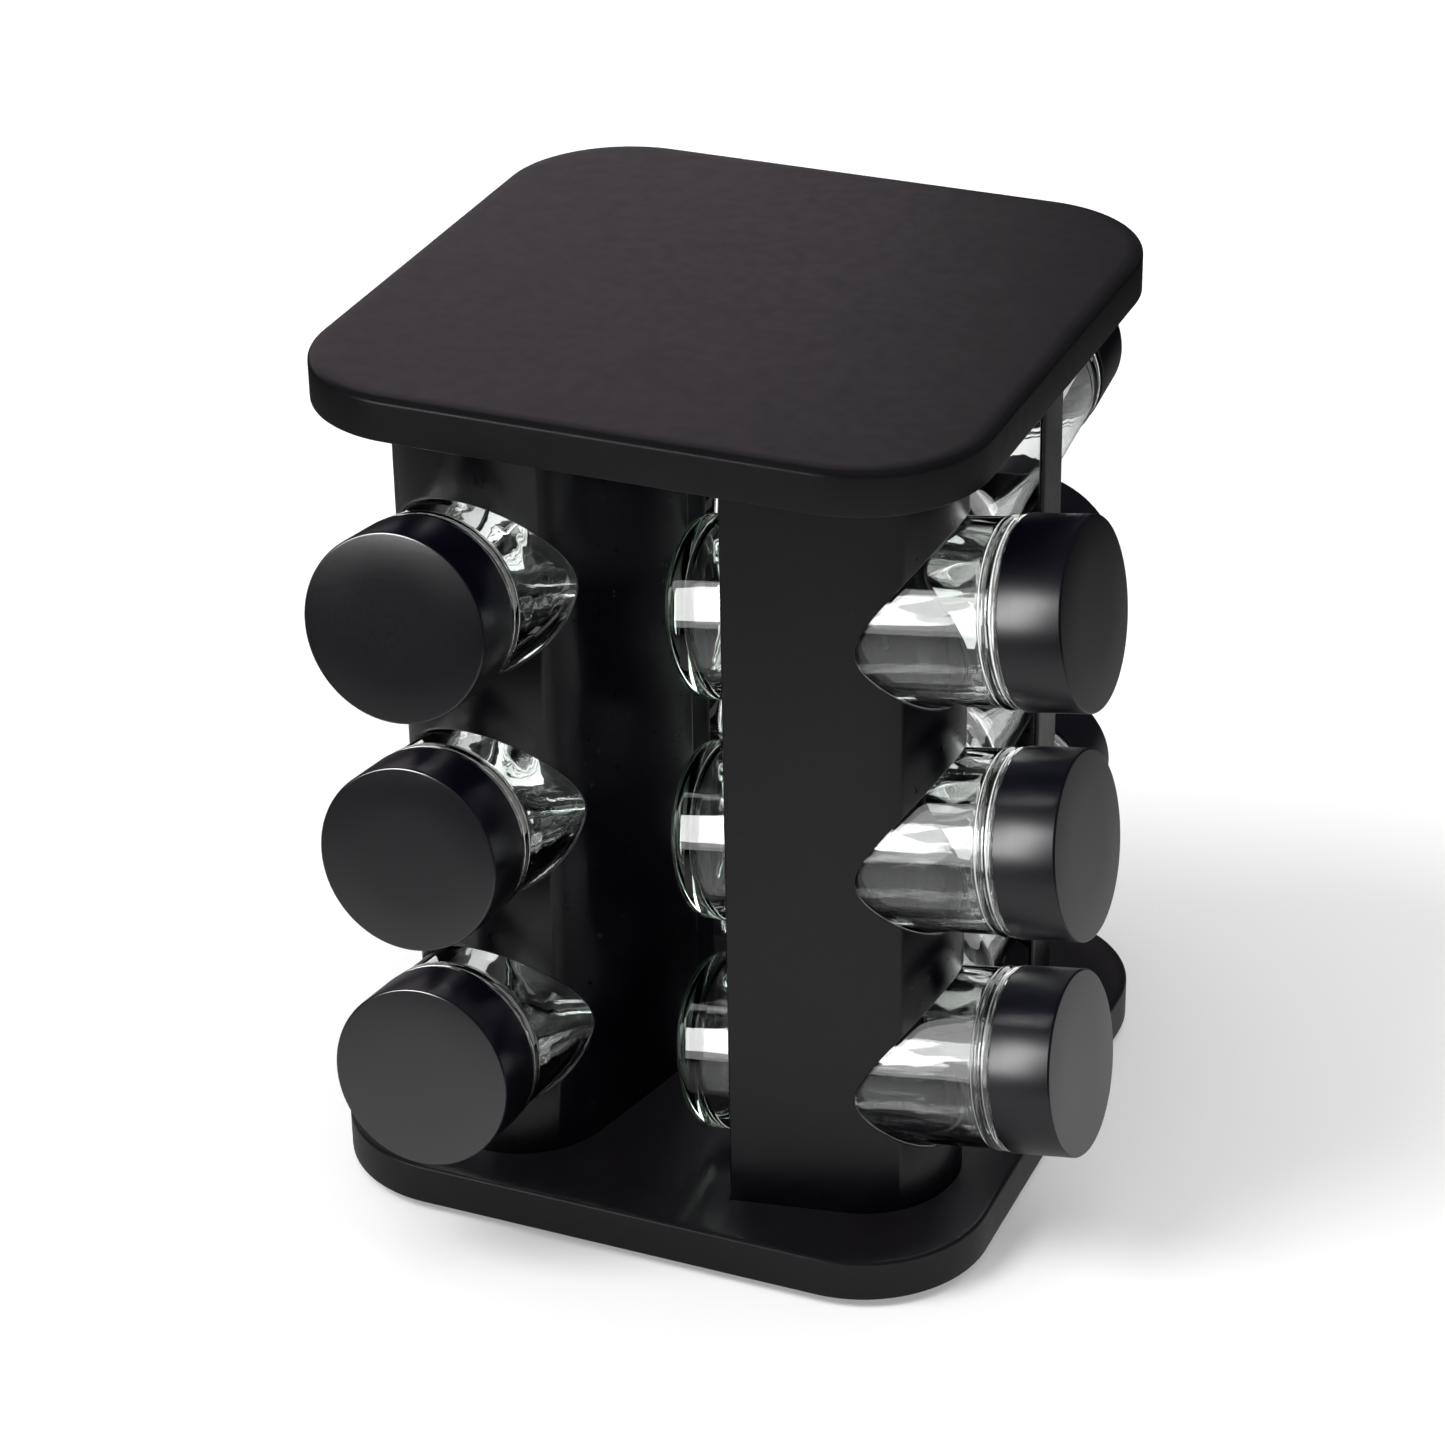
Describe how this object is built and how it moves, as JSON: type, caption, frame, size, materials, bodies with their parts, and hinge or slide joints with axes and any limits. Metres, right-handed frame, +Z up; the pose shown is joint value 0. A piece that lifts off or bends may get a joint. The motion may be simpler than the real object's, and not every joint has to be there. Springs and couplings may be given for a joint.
{
  "type": "spice carousel",
  "caption": "Revolving countertop spice carousel: square top and base plates joined by curved columns that hold tilted glass jars with screw lids, on a ball-bearing swivel foot.",
  "frame": {"origin": "on the floor, on the carousel's turning axis", "axes": "+Z up; column 1's jars face +X, column 2's +Y, column 3's -X and column 4's -Y"},
  "size_m": [0.2338, 0.2338, 0.2405],
  "materials": {
    "plate": "charcoal satin, fine moulded texture",
    "column": "satin black",
    "glass": "clear flint glass",
    "lid": "satin black anodised",
    "insert": "satin",
    "foot": "moulded matt black",
    "rubber": "matt",
    "steel": "bright zinc"
  },
  "bodies": {
    "swivel_foot": {"swivel_foot": "foot", "pivot_washer": "steel", "rubber_pad_1": "rubber", "rubber_pad_2": "rubber", "rubber_pad_3": "rubber", "rubber_pad_4": "rubber"},
    "ball_ring": {"ball_cage": "foot", "ball_1": "steel", "ball_2": "steel", "ball_3": "steel", "ball_4": "steel", "ball_5": "steel", "ball_6": "steel"},
    "carousel": {"base_plate": "plate", "top_plate": "plate", "column_1": "column", "column_2": "column", "column_3": "column", "column_4": "column", "column_screw_1": "steel", "column_screw_2": "steel", "column_screw_3": "steel", "column_screw_4": "steel", "pivot_screw": "steel"},
    "jar_1_low": {"jar_1_low": "glass", "sifter_1_low": "insert"},
    "lid_1_low": {"lid_1_low": "lid"},
    "jar_1_mid": {"jar_1_mid": "glass", "sifter_1_mid": "insert"},
    "lid_1_mid": {"lid_1_mid": "lid"},
    "jar_1_top": {"jar_1_top": "glass", "sifter_1_top": "insert"},
    "lid_1_top": {"lid_1_top": "lid"},
    "jar_2_low": {"jar_2_low": "glass", "sifter_2_low": "insert"},
    "lid_2_low": {"lid_2_low": "lid"},
    "jar_2_mid": {"jar_2_mid": "glass", "sifter_2_mid": "insert"},
    "lid_2_mid": {"lid_2_mid": "lid"},
    "jar_2_top": {"jar_2_top": "glass", "sifter_2_top": "insert"},
    "lid_2_top": {"lid_2_top": "lid"},
    "jar_3_low": {"jar_3_low": "glass", "sifter_3_low": "insert"},
    "lid_3_low": {"lid_3_low": "lid"},
    "jar_3_mid": {"jar_3_mid": "glass", "sifter_3_mid": "insert"},
    "lid_3_mid": {"lid_3_mid": "lid"},
    "jar_3_top": {"jar_3_top": "glass", "sifter_3_top": "insert"},
    "lid_3_top": {"lid_3_top": "lid"},
    "jar_4_low": {"jar_4_low": "glass", "sifter_4_low": "insert"},
    "lid_4_low": {"lid_4_low": "lid"},
    "jar_4_mid": {"jar_4_mid": "glass", "sifter_4_mid": "insert"},
    "lid_4_mid": {"lid_4_mid": "lid"},
    "jar_4_top": {"jar_4_top": "glass", "sifter_4_top": "insert"},
    "lid_4_top": {"lid_4_top": "lid"}
  },
  "joints": [
    {"name": "carousel_spin", "type": "hinge", "parent": "swivel_foot", "child": "carousel", "pos_m": [0, 0, 0.0065], "axis": [0, 0, 1], "continuous": true},
    {"name": "ball_ring_roll", "type": "hinge", "parent": "swivel_foot", "child": "ball_ring", "pos_m": [0, 0, 0.0065], "axis": [0, 0, 1], "continuous": true},
    {"name": "jar_1_low_slide", "type": "slide", "parent": "carousel", "child": "jar_1_low", "axis": [0.9869, 0, 0.1616], "range_m": [0, 0.085]},
    {"name": "lid_1_low_turn", "type": "hinge", "parent": "jar_1_low", "child": "lid_1_low", "pos_m": [0.113, -0.0444, 0.0591], "axis": [0.9869, 0, 0.1616], "range_deg": [0, 360]},
    {"name": "jar_1_mid_slide", "type": "slide", "parent": "carousel", "child": "jar_1_mid", "axis": [0.9869, 0, 0.1616], "range_m": [0, 0.085]},
    {"name": "lid_1_mid_turn", "type": "hinge", "parent": "jar_1_mid", "child": "lid_1_mid", "pos_m": [0.113, -0.0444, 0.1248], "axis": [0.9869, 0, 0.1616], "range_deg": [0, 360]},
    {"name": "jar_1_top_slide", "type": "slide", "parent": "carousel", "child": "jar_1_top", "axis": [0.9869, 0, 0.1616], "range_m": [0, 0.085]},
    {"name": "lid_1_top_turn", "type": "hinge", "parent": "jar_1_top", "child": "lid_1_top", "pos_m": [0.113, -0.0444, 0.1905], "axis": [0.9869, 0, 0.1616], "range_deg": [0, 360]},
    {"name": "jar_2_low_slide", "type": "slide", "parent": "carousel", "child": "jar_2_low", "axis": [0, 0.9869, 0.1616], "range_m": [0, 0.085]},
    {"name": "lid_2_low_turn", "type": "hinge", "parent": "jar_2_low", "child": "lid_2_low", "pos_m": [0.0444, 0.113, 0.0591], "axis": [0, 0.9869, 0.1616], "range_deg": [0, 360]},
    {"name": "jar_2_mid_slide", "type": "slide", "parent": "carousel", "child": "jar_2_mid", "axis": [0, 0.9869, 0.1616], "range_m": [0, 0.085]},
    {"name": "lid_2_mid_turn", "type": "hinge", "parent": "jar_2_mid", "child": "lid_2_mid", "pos_m": [0.0444, 0.113, 0.1248], "axis": [0, 0.9869, 0.1616], "range_deg": [0, 360]},
    {"name": "jar_2_top_slide", "type": "slide", "parent": "carousel", "child": "jar_2_top", "axis": [0, 0.9869, 0.1616], "range_m": [0, 0.085]},
    {"name": "lid_2_top_turn", "type": "hinge", "parent": "jar_2_top", "child": "lid_2_top", "pos_m": [0.0444, 0.113, 0.1905], "axis": [0, 0.9869, 0.1616], "range_deg": [0, 360]},
    {"name": "jar_3_low_slide", "type": "slide", "parent": "carousel", "child": "jar_3_low", "axis": [-0.9869, 0, 0.1616], "range_m": [0, 0.085]},
    {"name": "lid_3_low_turn", "type": "hinge", "parent": "jar_3_low", "child": "lid_3_low", "pos_m": [-0.113, 0.0444, 0.0591], "axis": [-0.9869, 0, 0.1616], "range_deg": [0, 360]},
    {"name": "jar_3_mid_slide", "type": "slide", "parent": "carousel", "child": "jar_3_mid", "axis": [-0.9869, 0, 0.1616], "range_m": [0, 0.085]},
    {"name": "lid_3_mid_turn", "type": "hinge", "parent": "jar_3_mid", "child": "lid_3_mid", "pos_m": [-0.113, 0.0444, 0.1248], "axis": [-0.9869, 0, 0.1616], "range_deg": [0, 360]},
    {"name": "jar_3_top_slide", "type": "slide", "parent": "carousel", "child": "jar_3_top", "axis": [-0.9869, 0, 0.1616], "range_m": [0, 0.085]},
    {"name": "lid_3_top_turn", "type": "hinge", "parent": "jar_3_top", "child": "lid_3_top", "pos_m": [-0.113, 0.0444, 0.1905], "axis": [-0.9869, 0, 0.1616], "range_deg": [0, 360]},
    {"name": "jar_4_low_slide", "type": "slide", "parent": "carousel", "child": "jar_4_low", "axis": [0, -0.9869, 0.1616], "range_m": [0, 0.085]},
    {"name": "lid_4_low_turn", "type": "hinge", "parent": "jar_4_low", "child": "lid_4_low", "pos_m": [-0.0444, -0.113, 0.0591], "axis": [0, -0.9869, 0.1616], "range_deg": [0, 360]},
    {"name": "jar_4_mid_slide", "type": "slide", "parent": "carousel", "child": "jar_4_mid", "axis": [0, -0.9869, 0.1616], "range_m": [0, 0.085]},
    {"name": "lid_4_mid_turn", "type": "hinge", "parent": "jar_4_mid", "child": "lid_4_mid", "pos_m": [-0.0444, -0.113, 0.1248], "axis": [0, -0.9869, 0.1616], "range_deg": [0, 360]},
    {"name": "jar_4_top_slide", "type": "slide", "parent": "carousel", "child": "jar_4_top", "axis": [0, -0.9869, 0.1616], "range_m": [0, 0.085]},
    {"name": "lid_4_top_turn", "type": "hinge", "parent": "jar_4_top", "child": "lid_4_top", "pos_m": [-0.0444, -0.113, 0.1905], "axis": [0, -0.9869, 0.1616], "range_deg": [0, 360]}
  ],
  "couplings": [
    {"joint": "ball_ring_roll", "follows": "carousel_spin", "ratio": 0.5}
  ]
}
